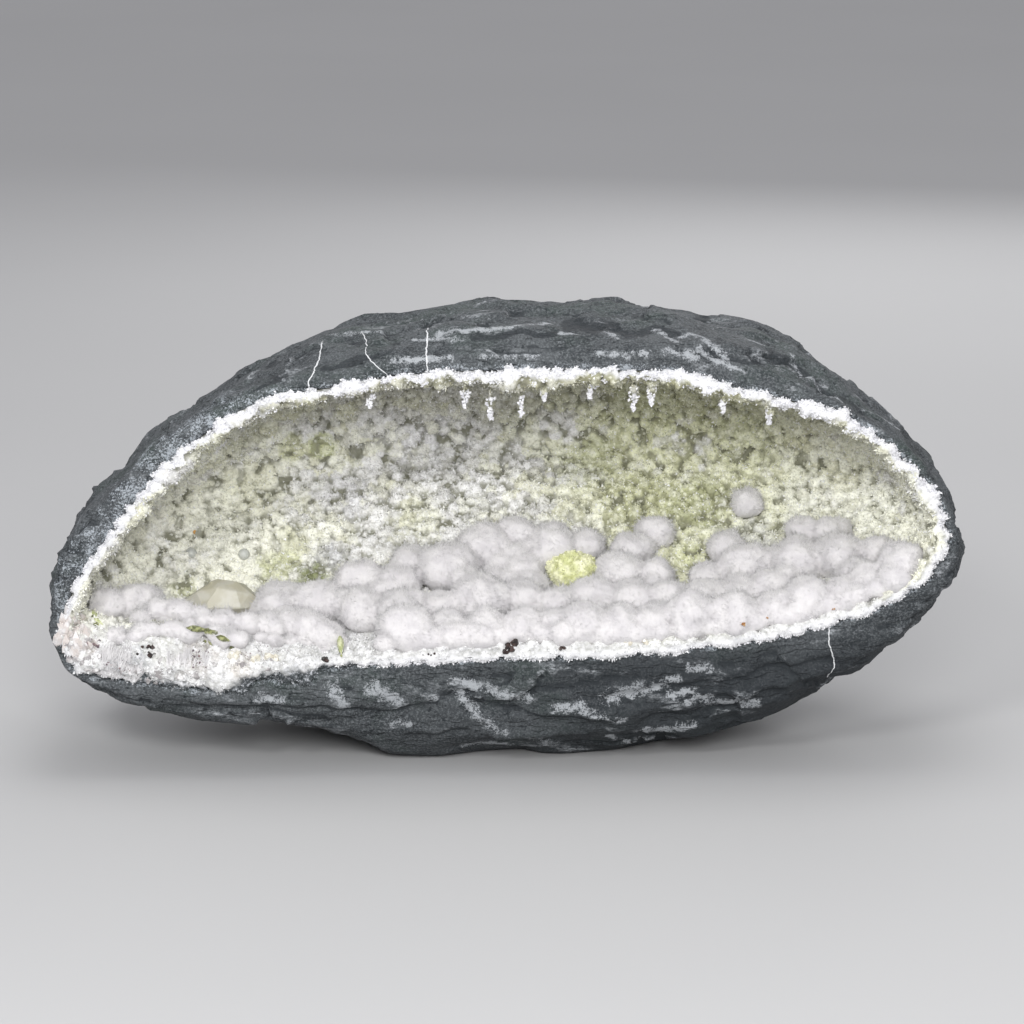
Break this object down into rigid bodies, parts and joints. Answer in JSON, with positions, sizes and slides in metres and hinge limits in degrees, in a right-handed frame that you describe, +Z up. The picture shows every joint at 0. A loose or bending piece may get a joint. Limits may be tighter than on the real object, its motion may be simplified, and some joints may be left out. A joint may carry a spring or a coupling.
{
  "type": "okenite geode",
  "caption": "Opened basalt geode lying on its flat base, its wide hollow lined with a pale green druse crust and floored with a bed of white okenite puffballs.",
  "frame": {"origin": "middle of the bottom of the bounding box, on the plane of the flat base", "axes": "+X to the right as the mouth of the hollow is faced, along the length; +Y from the mouth into the hollow; +Z up"},
  "size_m": [0.3678, 0.1514, 0.1834],
  "materials": {
    "basalt": "rough chipped dark basalt, slate grey with a slight green tint",
    "druse": "sparkling crust of tiny crystals, grey white to yellow green, white at its broken edge",
    "okenite": "soft white fibrous fuzz",
    "calcite": "clear to milky honey-coloured crystal",
    "prehnite": "yellow-green fine-grained lump with a waxy sparkle"
  },
  "bodies": {
    "root": {"basalt_shell": "basalt", "druse_crust": "druse", "okenite_puffballs": "okenite", "corner_puffballs": "okenite", "wall_puffball": "okenite", "calcite_crystal": "calcite", "prehnite_ball": "prehnite"}
  },
  "joints": []
}
